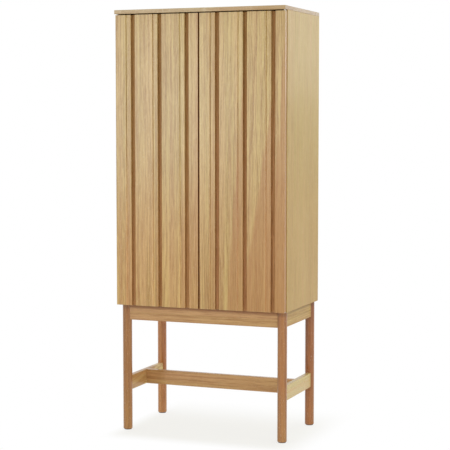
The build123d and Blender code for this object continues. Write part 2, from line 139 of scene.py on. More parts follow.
class OakFinish(bpy.types.PropertyGroup):
    """The oak's colours and its lacquer."""

    board: colour_property("Board", "Plain oak between the rings", 209, 175, 115)
    ring: colour_property("Ring", "The darker early wood of each year", 170, 128, 74)
    heart: colour_property("Heart", "Redder wood from nearer the heart of the tree", 177, 117, 66)
    pore: colour_property("Pore", "Open pores along the grain", 120, 80, 44)
    top: colour_property("Top", "The greyer oak of the top", 205, 186, 150)
    top_ring: colour_property("Top ring", "The early wood of the top", 176, 147, 106)
    # Painted shade: the recess colours, browner and darker than the board, stand in for the shade in the grooves
    # between the planks
    recess: colour_property("Recess", "The unsanded wood in the grooves between the planks", 202, 152, 109)
    recess_ring: colour_property("Recess ring", "The early wood in the grooves", 171, 121, 80)
    stand: colour_property("Stand", "The darker oak of the aprons and stretchers", 208, 165, 113)
    stand_ring: colour_property("Stand ring", "The early wood of the aprons and stretchers", 173, 124, 75)
    pale_apron: colour_property("Side apron", "The paler oak of the aprons at the sides", 211, 180, 119)
    pale_apron_ring: colour_property("Side apron ring", "The early wood of the side aprons", 179, 139, 82)
    leg: colour_property("Leg", "The solid oak of the front legs", 177, 121, 67)
    leg_ring: colour_property("Leg ring", "The early wood of the front legs", 147, 94, 47)
    back_leg: colour_property("Back leg", "The redder oak of the back right leg", 172, 108, 56)
    back_leg_ring: colour_property("Back leg ring", "The early wood of the back right leg", 141, 82, 38)
    # Painted light: the back left leg is paler to make up for the shade that the case casts on it
    pale_leg: colour_property("Pale leg", "The paler oak of the back left leg", 200, 135, 80)
    pale_leg_ring: colour_property("Pale leg ring", "The early wood of the back left leg", 169, 106, 58)
    side: colour_property("Side", "The yellower veneer of the side panels", 196, 163, 103)
    side_ring: colour_property("Side ring", "The early wood of the side panels", 173, 139, 79)
    # Painted reflection: the right stretcher is paler for the white floor reflected in it
    pale: colour_property("Pale", "The palest boards, from the outside of the log", 208, 188, 128)
    # The left stretcher's far end is paler, partly its wood and partly painted light where it lies in shade
    palest: colour_property("Palest", "The far end of the left stretcher", 243, 222, 162)
    back: colour_property("Back", "The thin back board", 196, 160, 108)
    ring_spacing: length_property("Ring spacing", "Width of one year's growth", 0.0042)
    pore_depth: length_property("Pore depth", "How deep the pores lie below the lacquer", 0.00025)
    edge_round: length_property("Edge round", "How far the sanding softens an edge", 0.0009)
    lacquer: share_property("Lacquer roughness", "How matt the clear lacquer is", 0.28)
    gloss: share_property("Lacquer gloss", "How strongly the lacquer shines", 0.25)


class FittingFinish(bpy.types.PropertyGroup):
    """The metal, plastic and soft parts."""

    hinge: colour_property("Hinge", "Satin nickel of the hinges", 200, 196, 188)
    screw: colour_property("Screw", "Zinc-plated screws, bolts and pins", 196, 198, 200)
    magnet: colour_property("Magnet", "Ground pole faces of the magnets", 128, 128, 132)
    housing: colour_property("Housing", "Moulded catch body", 92, 66, 44)
    glide: colour_property("Glide", "Plastic glides under the legs", 78, 60, 46)
    bumper: colour_property("Bumper", "Soft clear pads", 214, 212, 204)
    metal_roughness: share_property("Metal roughness", "How satin the metal is", 0.32)


class ScrewShape(bpy.types.PropertyGroup):
    """The wood screws: a countersunk head with a cross recess, and a coarse thread."""

    head_height: length_property("Head height", "From the face of the head to the shank", 0.0018)
    reach: share_property("Recess reach", "Reach of the cross as a share of the head's radius", 0.55)
    taper: share_property("Recess taper", "Width of the cross's foot as a share of its mouth's", 0.45)
    depth: length_property("Recess depth", "How deep the cross is", 0.0012)
    pitch: length_property("Pitch", "From one turn of the thread to the next", 0.0011)
    ridge: length_property("Thread depth", "How far the thread is cut into the shank", 0.0004)
    threaded: share_property("Threaded share", "How much of the shank has the thread", 0.8)
    tip: length_property("Tip", "Length of the point", 0.0016)
    tip_share: share_property("Tip width", "Width of the point's end as a share of the shank's", 0.15)


class BoltShape(bpy.types.PropertyGroup):
    """The bolts of the stand: a straight head with a hexagon socket, and a fine thread."""

    head_height: length_property("Head height", "From the face of the head to the shank", 0.004)
    reach: share_property("Socket reach", "Reach of the socket as a share of the head's radius", 0.45)
    taper: share_property("Socket taper", "Width of the socket's foot as a share of its mouth's", 0.98)
    depth: length_property("Socket depth", "How deep the socket is", 0.0026)
    pitch: length_property("Pitch", "From one turn of the thread to the next", 0.001)
    ridge: length_property("Thread depth", "How far the thread is cut into the shank", 0.0005)
    threaded: share_property("Threaded share", "How much of the shank has the thread", 0.5)
    tip: length_property("Tip", "Length of the chamfered end", 0.0008)
    tip_share: share_property("Tip width", "Width of the end as a share of the shank's", 0.8)


class StudioSettings(bpy.types.PropertyGroup):
    """The floor, the lights and the camera."""

    floor: colour_property("Floor", "Pale studio floor", 240, 241, 220)
    camera_place: FloatVectorProperty(
        name="Camera place",
        description="Where the camera stands",
        subtype="TRANSLATION",
        unit="LENGTH",
        default=(2.1443, -5.3836, 1.2849),
    )
    camera_turn: FloatProperty(
        name="Camera turn", description="Turn of the view about the upright", subtype="ANGLE", default=math.radians(21.43)
    )
    camera_dip: FloatProperty(
        name="Camera dip", description="How far the view looks down", subtype="ANGLE", default=math.radians(4.33)
    )
    lens: FloatProperty(name="Lens", description="Focal length on a 36 mm sensor, in mm", default=112.66)
    surround: FloatProperty(name="Surround light", description="Even light from all round", default=0.78, min=0)
    key: FloatProperty(name="Front light", description="Brightness of the front softbox", default=18.0, min=0)
    side: FloatProperty(name="Side light", description="Brightness of the softbox on the right", default=4.5, min=0)
    back: FloatProperty(name="Back light", description="Brightness of the softbox behind", default=1.4, min=0)


class Graph:
    """Adds nodes to a shader tree, set out in columns, and joins them."""

    def __init__(self, tree):
        self.tree = tree

    def add(self, kind, inputs=None, **settings):
        made = self.tree.nodes.new(kind)
        count = len(self.tree.nodes)
        made.location = (220 * (count // 5), -260 * (count % 5))
        for name, value in settings.items():
            setattr(made, name, value)
        for key, value in (inputs or {}).items():
            self.join(value, made.inputs[key])
        return made

    def join(self, value, socket):
        if isinstance(value, bpy.types.NodeSocket):
            self.tree.links.new(value, socket)
        else:
            socket.default_value = value

    def maths(self, operation, *values, clamp=False):
        made = self.add("ShaderNodeMath", dict(enumerate(values)), operation=operation, use_clamp=clamp)
        return made.outputs[0]

    def vectors(self, operation, *values):
        return self.add("ShaderNodeVectorMath", dict(enumerate(values)), operation=operation).outputs[0]

    def split(self, vector):
        return self.add("ShaderNodeSeparateXYZ", {0: vector}).outputs

    def join_axes(self, *values):
        return self.add("ShaderNodeCombineXYZ", dict(enumerate(values))).outputs[0]

    def noise(self, vector, stretch, detail=2.0, roughness=0.5, distortion=0.0):
        """Noise whose stretch gives its changes per metre along each axis."""
        inputs = {
            "Vector": self.vectors("MULTIPLY", vector, stretch),
            "Scale": 1.0,
            "Detail": detail,
            "Roughness": roughness,
            "Distortion": distortion,
        }
        return self.add("ShaderNodeTexNoise", inputs)

    def band(self, value, low, high):
        """0 below low, 1 above high and smooth between. Low may lie above high."""
        inputs = {"Value": value, "From Min": low, "From Max": high}
        return self.add("ShaderNodeMapRange", inputs, interpolation_type="SMOOTHSTEP").outputs[0]

    def blend(self, share, first, second, how="MIX"):
        inputs = {0: share, MIX_FIRST: first, MIX_SECOND: second}
        return self.add("ShaderNodeMix", inputs, data_type="RGBA", blend_type=how).outputs[MIX_RESULT]


def new_group(name, inputs, outputs):
    """An empty node group with named sockets, each with its kind and default."""
    tree = bpy.data.node_groups.new(name, "ShaderNodeTree")
    for label, (kind, default) in inputs.items():
        socket = tree.interface.new_socket(label, in_out="INPUT", socket_type=f"NodeSocket{kind}")
        if default is not None:
            socket.default_value = default
    for label, kind in outputs.items():
        tree.interface.new_socket(label, in_out="OUTPUT", socket_type=f"NodeSocket{kind}")
    graph = Graph(tree)
    source = graph.add("NodeGroupInput").outputs
    sink = graph.add("NodeGroupOutput").inputs
    return graph, source, sink


def oak_grain_group():
    """Solid oak: growth rings about a leaning pith, streaks, fibres, pores, rays and redder heartwood."""
    found = bpy.data.node_groups.get("oak grain")
    if found:
        return found
    inputs = {
        "Board Place": ("Vector", None),
        "Pith": ("Vector", FLAT_SAWN),
        "Ring Spacing": ("Float", 0.0075),
        "Ring Strength": ("Float", 0.5),
        "Streak Strength": ("Float", 0.5),
        "Pore Strength": ("Float", 0.5),
        "Heart Edge": ("Float", 1.0),
        "Heart Lean": ("Float", 0.0),
        "Heart Strength": ("Float", 0.0),
        "Board Colour": ("Color", None),
        "Ring Colour": ("Color", None),
        "Heart Colour": ("Color", None),
        "Pore Colour": ("Color", None),
        "Lacquer": ("Float", 0.44),
    }
    outputs = {"Colour": "Color", "Roughness": "Float", "Height": "Float"}
    graph, source, sink = new_group("oak grain", inputs, outputs)
    place = source["Board Place"]
    sway = graph.noise(place, (2.2, 2.2, 1.3), 2.0).outputs["Color"]
    sway = graph.vectors("MULTIPLY", graph.vectors("SUBTRACT", sway, (0.5, 0.5, 0.5)), (0.05, 0.05, 0.0))
    ripple = graph.noise(place, (22.0, 22.0, 7.0), 2.0).outputs["Color"]
    ripple = graph.vectors("MULTIPLY", graph.vectors("SUBTRACT", ripple, (0.5, 0.5, 0.5)), (0.005, 0.005, 0.0))
    swayed = graph.vectors("ADD", graph.vectors("ADD", place, sway), ripple)
    across, deep, along = graph.split(swayed)
    pith_across, pith_deep, pith_lean = graph.split(source["Pith"])
    pith_deep = graph.maths("MULTIPLY_ADD", along, pith_lean, pith_deep)
    from_pith = graph.join_axes(
        graph.maths("SUBTRACT", across, pith_across), graph.maths("SUBTRACT", deep, pith_deep), 0.0
    )
    distance = graph.add("ShaderNodeVectorMath", {0: from_pith}, operation="LENGTH").outputs["Value"]
    years = graph.maths("DIVIDE", distance, source["Ring Spacing"])
    uneven = graph.add("ShaderNodeTexNoise", {"W": years, "Scale": 0.6, "Detail": 1.0}, noise_dimensions="1D")
    years = graph.maths("MULTIPLY_ADD", uneven.outputs[0], 2.4, years)
    season = graph.maths("FRACT", years)
    year = graph.maths("FLOOR", years)
    vigour = graph.add("ShaderNodeTexWhiteNoise", {"W": year}, noise_dimensions="1D").outputs["Value"]
    early = graph.maths("MULTIPLY", graph.band(season, 0.0, 0.14), graph.band(season, 0.85, 0.2))
    early = graph.maths("MULTIPLY", early, graph.maths("MULTIPLY_ADD", vigour, 0.7, 0.3))

    streak = graph.noise(place, (110.0, 110.0, 1.2), 3.0, 0.6).outputs[0]
    hue = graph.noise(place, (55.0, 55.0, 0.9), 2.0).outputs[0]
    thread = graph.noise(swayed, (260.0, 260.0, 10.0), 2.0, 0.6).outputs[0]
    fibre = graph.noise(swayed, (900.0, 900.0, 30.0), 2.0, 0.6).outputs[0]
    patch = graph.noise(place, (9.0, 9.0, 2.0), 2.0).outputs[0]
    pores = graph.noise(swayed, (1900.0, 1900.0, 55.0), 1.0, 0.5).outputs[0]
    pores = graph.maths("MULTIPLY", graph.band(pores, 0.56, 0.68), graph.maths("MULTIPLY_ADD", early, 0.75, 0.25))
    rays = graph.band(graph.noise(place, (420.0, 40.0, 130.0), 1.0).outputs[0], 0.62, 0.74)

    tone = graph.maths("MULTIPLY", early, source["Ring Strength"])
    streak_tone = graph.maths("MULTIPLY", graph.band(streak, 0.33, 0.67), source["Streak Strength"])
    tone = graph.maths("ADD", tone, streak_tone)
    tone = graph.maths("MULTIPLY_ADD", graph.maths("SUBTRACT", thread, 0.5), 2.0, tone)
    tone = graph.maths("MULTIPLY_ADD", graph.maths("SUBTRACT", fibre, 0.5), 0.6, tone)
    tone = graph.maths("MULTIPLY_ADD", graph.maths("SUBTRACT", patch, 0.5), 0.6, tone, clamp=True)
    colour = graph.blend(tone, source["Board Colour"], source["Ring Colour"])
    straw = graph.blend(1.0, colour, (0.98, 1.0, 0.91, 1.0), "MULTIPLY")
    rosy = graph.blend(1.0, colour, (1.0, 0.955, 0.95, 1.0), "MULTIPLY")
    colour = graph.blend(graph.band(hue, 0.38, 0.62), straw, rosy)
    colour = graph.blend(graph.maths("MULTIPLY", rays, 0.12), colour, (1.0, 0.93, 0.78, 1.0))

    plain_across, _, plain_along = graph.split(place)
    heart_line = graph.maths("MULTIPLY_ADD", plain_along, source["Heart Lean"], source["Heart Edge"])
    wander = graph.maths("MULTIPLY_ADD", graph.maths("SUBTRACT", streak, 0.5), 0.03, plain_across)
    into_heart = graph.maths("SUBTRACT", wander, heart_line)
    heart = graph.maths("MULTIPLY", graph.band(into_heart, -0.004, 0.010), source["Heart Strength"])
    colour = graph.blend(heart, colour, source["Heart Colour"])
    colour = graph.blend(graph.maths("MULTIPLY", pores, source["Pore Strength"]), colour, source["Pore Colour"])

    rough = graph.maths("MULTIPLY_ADD", pores, 0.25, source["Lacquer"])
    rough = graph.maths("MULTIPLY_ADD", graph.maths("SUBTRACT", patch, 0.5), 0.12, rough)
    height = graph.maths("MULTIPLY_ADD", early, -0.25, 1.0)
    height = graph.maths("MULTIPLY_ADD", pores, -0.7, height)
    height = graph.maths("MULTIPLY_ADD", fibre, 0.12, height)
    graph.join(colour, sink["Colour"])
    graph.join(rough, sink["Roughness"])
    graph.join(height, sink["Height"])
    return graph.tree


def worn_edge_group():
    """Finds a piece's edges: a softened normal, and a mask that is 1 along each edge."""
    found = bpy.data.node_groups.get("worn edge")
    if found:
        return found
    inputs = {"Edge Width": ("Float", 0.001), "Patchiness": ("Float", 0.5), "Place": ("Vector", None)}
    outputs = {"Edge": "Float", "Soft Normal": "Vector"}
    graph, source, sink = new_group("worn edge", inputs, outputs)
    soft = graph.add("ShaderNodeBevel", {"Radius": source["Edge Width"]}, samples=4).outputs[0]
    flat = graph.add("ShaderNodeNewGeometry").outputs["Normal"]
    match = graph.add("ShaderNodeVectorMath", {0: soft, 1: flat}, operation="DOT_PRODUCT").outputs["Value"]
    edge = graph.band(match, 0.995, 0.80)
    patchy = graph.band(graph.noise(source["Place"], (60.0, 60.0, 60.0), 3.0).outputs[0], 0.35, 0.65)
    kept = graph.maths("MULTIPLY_ADD", graph.maths("SUBTRACT", patchy, 1.0), source["Patchiness"], 1.0)
    graph.join(graph.maths("MULTIPLY", edge, kept), sink["Edge"])
    graph.join(soft, sink["Soft Normal"])
    return graph.tree


def brushed_group():
    """Brushed or ground metal: fine lines along one axis and a faint cloudiness."""
    found = bpy.data.node_groups.get("brushed metal")
    if found:
        return found
    inputs = {
        "Place": ("Vector", None),
        "Lines": ("Vector", (300.0, 4000.0, 4000.0)),
        "Metal Colour": ("Color", None),
        "Satin": ("Float", 0.3),
    }
    outputs = {"Colour": "Color", "Roughness": "Float", "Height": "Float"}
    graph, source, sink = new_group("brushed metal", inputs, outputs)
    lines = graph.noise(source["Place"], source["Lines"], 2.0).outputs[0]
    cloud = graph.noise(source["Place"], (90.0, 90.0, 90.0), 3.0).outputs[0]
    shade = graph.maths("MULTIPLY_ADD", graph.maths("SUBTRACT", cloud, 0.5), 0.35, 0.5)
    shade = graph.maths("MULTIPLY_ADD", graph.maths("SUBTRACT", lines, 0.5), 0.4, shade, clamp=True)
    darker = graph.blend(1.0, source["Metal Colour"], (0.62, 0.60, 0.57, 1.0), "MULTIPLY")
    graph.join(graph.blend(shade, darker, source["Metal Colour"]), sink["Colour"])
    rough = graph.maths("MULTIPLY_ADD", graph.maths("SUBTRACT", cloud, 0.5), 0.3, source["Satin"])
    graph.join(graph.maths("MULTIPLY_ADD", lines, 0.1, rough), sink["Roughness"])
    graph.join(lines, sink["Height"])
    return graph.tree


def moulded_group():
    """Moulded plastic or soft pad: a fine grained skin with a faint cloudiness."""
    found = bpy.data.node_groups.get("moulded skin")
    if found:
        return found
    inputs = {"Place": ("Vector", None), "Skin Colour": ("Color", None), "Matt": ("Float", 0.5)}
    outputs = {"Colour": "Color", "Roughness": "Float", "Height": "Float"}
    graph, source, sink = new_group("moulded skin", inputs, outputs)
    grain = graph.noise(source["Place"], (2600.0, 2600.0, 2600.0), 1.0).outputs[0]
    cloud = graph.noise(source["Place"], (120.0, 120.0, 120.0), 3.0).outputs[0]
    shade = graph.maths("MULTIPLY_ADD", graph.maths("SUBTRACT", cloud, 0.5), 0.5, 0.25, clamp=True)
    darker = graph.blend(1.0, source["Skin Colour"], (0.6, 0.6, 0.6, 1.0), "MULTIPLY")
    graph.join(graph.blend(shade, source["Skin Colour"], darker), sink["Colour"])
    graph.join(graph.maths("MULTIPLY_ADD", cloud, 0.2, source["Matt"]), sink["Roughness"])
    graph.join(grain, sink["Height"])
    return graph.tree


def new_material(name):
    """A material with its graph, its shader and the part's own coordinates."""
    material = bpy.data.materials.new(name)
    material.use_nodes = True
    material.node_tree.nodes.clear()
    graph = Graph(material.node_tree)
    shader = graph.add("ShaderNodeBsdfPrincipled")
    graph.add("ShaderNodeOutputMaterial", {"Surface": shader.outputs[0]})
    place = graph.add("ShaderNodeTexCoord").outputs["Object"]
    return material, graph, shader, place


def placed_group(graph, tree, inputs):
    """Puts a node group in a material with its own values."""
    made = graph.add("ShaderNodeGroup", node_tree=tree)
    for key, value in inputs.items():
        graph.join(value, made.inputs[key])
    return made.outputs


def oak_material(name, lie, pith, board, ring, heart=(1.0, 0.0, 0.0), rings=0.5, streaks=0.6, pores=0.5,
                 shine=1.0, matt=0.0, lining=None, fades=(), bead=None, paints_gap_shadow=False):
    """Lacquered oak for one board: how it lies, where it was cut, and where its heartwood starts.

    shine multiplies the gloss, and matt is what its roughness is above the rest. lining holds the
    board and ring colours of its back. fades are its changes with height, most of them painted light
    and shade. bead is how far to the right the middle of its bead is, which gets painted light near
    the foot. When the flag for the doors' gap is set, the board gets painted shadow of the gap, and
    less coat, where the two doors meet.
    """
    finish = bpy.context.scene.oak_finish
    material, graph, shader, place = new_material(name)
    axes = dict(zip("XYZ", graph.split(place)))
    facing = dict(zip("XYZ", graph.split(graph.add("ShaderNodeTexCoord").outputs["Normal"])))
    if lining:
        behind = graph.band(facing["Y"], 0.5, 0.9)
        board, ring = graph.blend(behind, board, lining[0]), graph.blend(behind, ring, lining[1])
    turned = graph.join_axes(*(axes[letter] for letter in lie))
    chance = random.Random(name)
    shift = tuple(chance.uniform(3.0, 9.0) for _ in lie)
    grain_place = graph.vectors("ADD", turned, shift)
    pith = tuple(Vector(pith) + Vector((shift[0], shift[1] - pith[2] * shift[2], 0.0)))
    edge, lean, strength = heart
    inputs = {
        "Board Place": grain_place,
        "Pith": pith,
        "Ring Spacing": finish.ring_spacing,
        "Ring Strength": rings,
        "Streak Strength": streaks,
        "Pore Strength": pores,
        "Heart Edge": shift[0] + edge - lean * shift[2],
        "Heart Lean": lean,
        "Heart Strength": strength,
        "Board Colour": board,
        "Ring Colour": ring,
        "Heart Colour": tuple(finish.heart),
        "Pore Colour": tuple(finish.pore),
        "Lacquer": finish.lacquer + matt,
    }
    oak = placed_group(graph, oak_grain_group(), inputs)
    worn = placed_group(graph, worn_edge_group(), {"Edge Width": finish.edge_round, "Place": place})
    pale_edge = graph.maths("MULTIPLY", worn["Edge"], 0.22)
    colour = graph.blend(pale_edge, oak["Colour"], (0.86, 0.70, 0.47, 1.0))
    end_grain = graph.band(graph.maths("ABSOLUTE", facing[lie[2]]), 0.75, 0.95)
    colour = graph.blend(end_grain, colour, graph.blend(1.0, colour, END_GRAIN_SHADE, "MULTIPLY"))
    # Painted light and shade that change with height, kept off the back of a lined board
    for start, full, tint in fades:
        faded = graph.band(axes["Z"], start, full)
        if lining:
            faded = graph.maths("MULTIPLY", faded, graph.maths("SUBTRACT", 1.0, behind))
        colour = graph.blend(faded, colour, graph.blend(1.0, colour, tint, "MULTIPLY"))
    # Painted light: the bead grows paler towards its foot
    if bead is not None:
        from_bead = graph.maths("ABSOLUTE", graph.maths("SUBTRACT", axes["X"], bead))
        paler = graph.maths("MULTIPLY", graph.band(from_bead, 0.0040, 0.0028), graph.band(axes["Z"], 1.35, 0.65))
        colour = graph.blend(paler, colour, graph.blend(1.0, colour, BEAD_PAINTED_LIGHT, "MULTIPLY"))
    coat = 0.4 * shine
    # Painted shadow of the gap between the doors, on the edges where they meet and on a strip of the faces beside it,
    # with less coat there
    if paints_gap_shadow:
        from_middle = graph.maths("ABSOLUTE", graph.maths("SUBTRACT", axes["X"], 0.0005))
        sideways = graph.band(graph.maths("ABSOLUTE", facing["X"]), 0.75, 0.95)
        dark = graph.maths("MULTIPLY", sideways, graph.band(from_middle, 0.006, 0.004))
        dark = graph.maths("MAXIMUM", dark, graph.band(from_middle, 0.0045, 0.0033))
        colour = graph.blend(dark, colour, graph.blend(1.0, colour, GAP_PAINTED_SHADOW, "MULTIPLY"))
        coat = graph.maths("MULTIPLY", graph.maths("SUBTRACT", 1.0, dark), coat)
    graph.join(colour, shader.inputs["Base Color"])
    graph.join(graph.maths("MULTIPLY_ADD", worn["Edge"], 0.08, oak["Roughness"]), shader.inputs["Roughness"])
    shader.inputs["Specular IOR Level"].default_value = finish.gloss * shine
    graph.join(coat, shader.inputs["Coat Weight"])
    shader.inputs["Coat Roughness"].default_value = 0.24
    bump = graph.add(
        "ShaderNodeBump",
        {"Height": oak["Height"], "Distance": finish.pore_depth, "Strength": 1.0, "Normal": worn["Soft Normal"]},
    )
    graph.join(bump.outputs[0], shader.inputs["Normal"])
    return material


def metal_material(name, colour, lines, roughness):
    """Brushed, ground or plated metal with softened, brighter edges."""
    material, graph, shader, place = new_material(name)
    inputs = {"Place": place, "Lines": lines, "Metal Colour": colour, "Satin": roughness}
    metal = placed_group(graph, brushed_group(), inputs)
    worn = placed_group(graph, worn_edge_group(), {"Edge Width": 0.0003, "Place": place})
    bright = graph.blend(graph.maths("MULTIPLY", worn["Edge"], 0.5), metal["Colour"], (0.9, 0.89, 0.87, 1.0))
    graph.join(bright, shader.inputs["Base Color"])
    graph.join(metal["Roughness"], shader.inputs["Roughness"])
    shader.inputs["Metallic"].default_value = 1.0
    bump = graph.add(
        "ShaderNodeBump", {"Height": metal["Height"], "Distance": 0.00002, "Normal": worn["Soft Normal"]}
    )
    graph.join(bump.outputs[0], shader.inputs["Normal"])
    return material


def moulded_material(name, colour, roughness):
    """Moulded plastic or a soft pad."""
    material, graph, shader, place = new_material(name)
    skin = placed_group(graph, moulded_group(), {"Place": place, "Skin Colour": colour, "Matt": roughness})
    worn = placed_group(graph, worn_edge_group(), {"Edge Width": 0.0004, "Place": place})
    graph.join(skin["Colour"], shader.inputs["Base Color"])
    graph.join(skin["Roughness"], shader.inputs["Roughness"])
    bump = graph.add(
        "ShaderNodeBump", {"Height": skin["Height"], "Distance": 0.00003, "Normal": worn["Soft Normal"]}
    )
    graph.join(bump.outputs[0], shader.inputs["Normal"])
    return material


def dress(node, material):
    """Gives a CAD node its material."""
    mesh = cad_nodes[node].data
    mesh.materials.clear()
    mesh.materials.append(material)


class CUPBOARD_OT_case(bpy.types.Operator):
    """Dresses the boards of the case and its shelves"""

    bl_idname = "cupboard.case"
    bl_label = "Dress the case"

    def execute(self, context):
        finish = context.scene.oak_finish
        board, ring = tuple(finish.board), tuple(finish.ring)
        top = oak_material("oak, top panel", LYING_FLAT, RIFT_SAWN, tuple(finish.top), tuple(finish.top_ring),
                           (-0.2075, -0.15, 0.3), rings=0.35, shine=0.6)
        dress("top_panel", top)
        for side in SIDES:
            node = f"{side}_side_panel"
            # Painted light: the side panels grow paler towards the top
            veneer = oak_material(f"oak, {side} side panel", UPRIGHT_FACING_SIDE, QUARTER_SAWN, tuple(finish.side),
                                  tuple(finish.side_ring), rings=0.2, streaks=0.35, pores=0.35, shine=0.5, matt=0.14,
                                  fades=(PAINTED_LIGHT_ABOVE,))
            dress(node, veneer)
        for node in ("bottom_panel", "lower_shelf", "middle_shelf", "upper_shelf"):
            dress(node, oak_material(f"oak, {node.replace('_', ' ')}", LYING_FLAT, RIFT_SAWN, board, ring))
        dress("wall_rail", oak_material("oak, wall rail", LEVEL_FACING_FRONT, RIFT_SAWN, board, ring))
        back = oak_material("oak, back panel", UPRIGHT_FACING_FRONT, RIFT_SAWN, tuple(finish.back), ring, rings=0.3)
        dress("back_panel", back)
        dress("case_dowels", oak_material("beech, case dowels", UPRIGHT_FACING_FRONT, RIFT_SAWN, board, ring, rings=0.1))
        return {"FINISHED"}


# Each plank's cut, and where its redder heartwood starts: metres from the part's middle at the
# floor, its lean to the right for each metre up, and its strength
PLANK_CUTS = {
    ("left", 1): (RIFT_SAWN, (-0.345, 0.02, 0.20)),
    ("left", 2): (QUARTER_SAWN, (-0.205, 0.03, 0.10)),
    ("left", 3): (RIFT_SAWN, (-0.105, 0.04, 0.20)),
    ("left", 4): (RIFT_SAWN, (-0.075, 0.01, 0.22)),
    ("right", 1): (QUARTER_SAWN, (0.025, 0.02, 0.25)),
    ("right", 2): (RIFT_SAWN, (0.075, 0.077, 0.50)),
    ("right", 3): (RIFT_SAWN, (0.100, 0.150, 0.55)),
    ("right", 4): (RIFT_SAWN, (0.255, 0.065, 0.60)),
}


class CUPBOARD_OT_doors(bpy.types.Operator):
    """Dresses the planks and backing boards of both doors"""

    bl_idname = "cupboard.doors"
    bl_label = "Dress the doors"

    def execute(self, context):
        finish = context.scene.oak_finish
        board, ring = tuple(finish.board), tuple(finish.ring)
        for (side, number), (pith, heart) in PLANK_CUTS.items():
            node = f"{side}_door_plank_{number}"
            left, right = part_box(node)
            middle = (left.x + right.x) / 2
            pith = (pith[0] + middle, pith[1], pith[2])
            name = f"oak, {side} door plank {number}"
            bead = right.x - BEAD_SETBACK if number < PLANK_NUMBERS[-1] else None
            # Painted light paler towards the top of the planks and at the foot of their beads, and painted shadow where
            # the doors meet; the left door's planks also grow redder towards their foot
            fades = (PAINTED_LIGHT_ABOVE, WARMER_FOOT) if side == "left" else (PAINTED_LIGHT_ABOVE,)
            plank = oak_material(name, UPRIGHT_FACING_FRONT, pith, board, ring, heart, fades=fades, bead=bead,
                                 paints_gap_shadow=True)
            dress(node, plank)
        # Painted shade: the groove floors take the browner recess colours and grow darker towards the top, while the
        # backs of the boards keep the board's colours
        recess, recess_ring = tuple(finish.recess), tuple(finish.recess_ring)
        for side in SIDES:
            name = f"oak, {side} door backing"
            backing = oak_material(name, UPRIGHT_FACING_FRONT, QUARTER_SAWN, recess, recess_ring, shine=0.05,
                                   lining=(board, ring), fades=(PAINTED_SHADE_ABOVE,))
            dress(f"{side}_door_backing", backing)
        return {"FINISHED"}


class CUPBOARD_OT_stand(bpy.types.Operator):
    """Dresses the legs, the aprons and the stretchers"""

    bl_idname = "cupboard.stand"
    bl_label = "Dress the stand"

    def execute(self, context):
        finish = context.scene.oak_finish
        board, ring = tuple(finish.stand), tuple(finish.stand_ring)
        leg_colours = {
            ("front", "left"): (tuple(finish.leg), tuple(finish.leg_ring)),
            ("front", "right"): (tuple(finish.leg), tuple(finish.leg_ring)),
            ("back", "left"): (tuple(finish.pale_leg), tuple(finish.pale_leg_ring)),
            ("back", "right"): (tuple(finish.back_leg), tuple(finish.back_leg_ring)),
        }
        for end in ENDS:
            for side in SIDES:
                node = f"leg_{end}_{side}"
                low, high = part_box(node)
                pith = ((low.x + high.x) / 2 + 0.03, (low.y + high.y) / 2 + 0.05, 0.01)
                name = f"oak, {end} {side} leg"
                # Painted light from the floor at the foot of each leg and painted shadow under the case at its top; the
                # back right leg gets painted shade under the case as well
                fades = [PAINTED_FLOOR_LIGHT, PAINTED_SHADOW_UNDER_SIDES]
                if (end, side) == ("back", "right"):
                    fades.append(PAINTED_SHADE_UNDER_CASE)
                leg = oak_material(name, UPRIGHT_FACING_FRONT, pith, *leg_colours[end, side], shine=1.3, fades=fades)
                dress(node, leg)
            name = f"oak, {end} apron"
            # Painted shadow under the doors along the top of the apron
            apron = oak_material(name, LEVEL_FACING_FRONT, RIFT_SAWN, board, ring, fades=(PAINTED_SHADOW_UNDER_DOORS,))
            dress(f"{end}_apron", apron)
        for side in SIDES:
            # Painted shadow under the case along the top of the side apron
            apron = oak_material(f"oak, {side} apron", LEVEL_FACING_SIDE, RIFT_SAWN, tuple(finish.pale_apron),
                                 tuple(finish.pale_apron_ring), shine=0.3, fades=(PAINTED_SHADOW_UNDER_SIDES,))
            dress(f"{side}_apron", apron)
            name = f"oak, {side} stretcher"
            heart = (0.17, 0.5, 0.60) if side == "left" else (1.0, 0.0, 0.0)
            # The right stretcher's paler colour is painted reflection, and the left one's far end is partly painted
            # light
            pale = tuple(finish.palest if side == "left" else finish.pale)
            stretcher = oak_material(name, LEVEL_FACING_SIDE, RIFT_SAWN, pale, tuple(finish.board), heart, shine=0.6)
            dress(f"{side}_side_stretcher", stretcher)
        dress("centre_stretcher", oak_material("oak, centre stretcher", LEVEL_FACING_FRONT, FLAT_SAWN, board, ring))
        return {"FINISHED"}


class CUPBOARD_OT_hinges(bpy.types.Operator):
    """Dresses the pivot hinges in satin nickel"""

    bl_idname = "cupboard.hinges"
    bl_label = "Dress the hinges"

    def execute(self, context):
        fittings = context.scene.fitting_finish
        level = metal_material("satin nickel, level", tuple(fittings.hinge), (300.0, 5000.0, 5000.0),
                               fittings.metal_roughness)
        turned = metal_material("satin nickel, turned", tuple(fittings.hinge), (3000.0, 3000.0, 300.0),
                                fittings.metal_roughness)
        for side in SIDES:
            for node in ("upper_hinge_plate", "lower_hinge_arm", "door_lower_leaf", "door_upper_leaf"):
                dress(f"{side}_{node}", level)
        for node in ("hinge_pins", "hinge_washers"):
            dress(node, turned)
        return {"FINISHED"}


